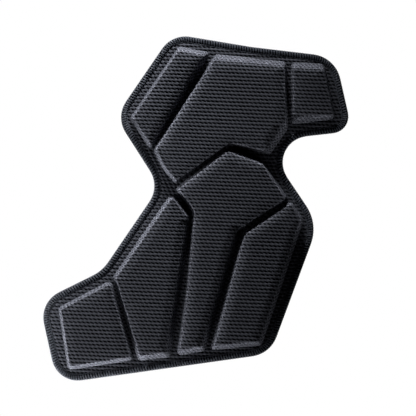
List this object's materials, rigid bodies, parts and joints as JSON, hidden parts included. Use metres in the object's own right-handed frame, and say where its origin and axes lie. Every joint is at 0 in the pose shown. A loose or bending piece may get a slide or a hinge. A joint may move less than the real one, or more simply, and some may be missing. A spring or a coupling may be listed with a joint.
{
  "type": "moulded foam hip pad for padded goalkeeper pants",
  "caption": "Flat moulded hip pad: raised foam blocks under black mesh knit on a thin pressed sheet with an overlocked edge, worn in goalkeeper pants over the hip and outer thigh.",
  "frame": {"origin": "middle of the pad's outline, on the surface under its flat back", "axes": "+Z out of the front face through the blocks, +Y up the body towards the waist, +X across the pad towards its rear tab"},
  "size_m": [0.2442, 0.2754, 0.012],
  "materials": {
    "mesh_knit": "black polyester mesh knit, matte with a soft sheen",
    "backing_knit": "black mesh knit in front and plain smooth knit behind, pressed flat on thin foam",
    "overlock_thread": "black textured polyester thread in overlock stitches"
  },
  "bodies": {
    "root": {"pressed_sheet": "backing_knit", "overlock_edge": "overlock_thread", "upper_left_block": "mesh_knit", "upper_middle_block": "mesh_knit", "upper_right_block": "mesh_knit", "centre_block": "mesh_knit", "lower_left_block": "mesh_knit", "lower_right_block": "mesh_knit", "wing_block": "mesh_knit"}
  },
  "joints": []
}
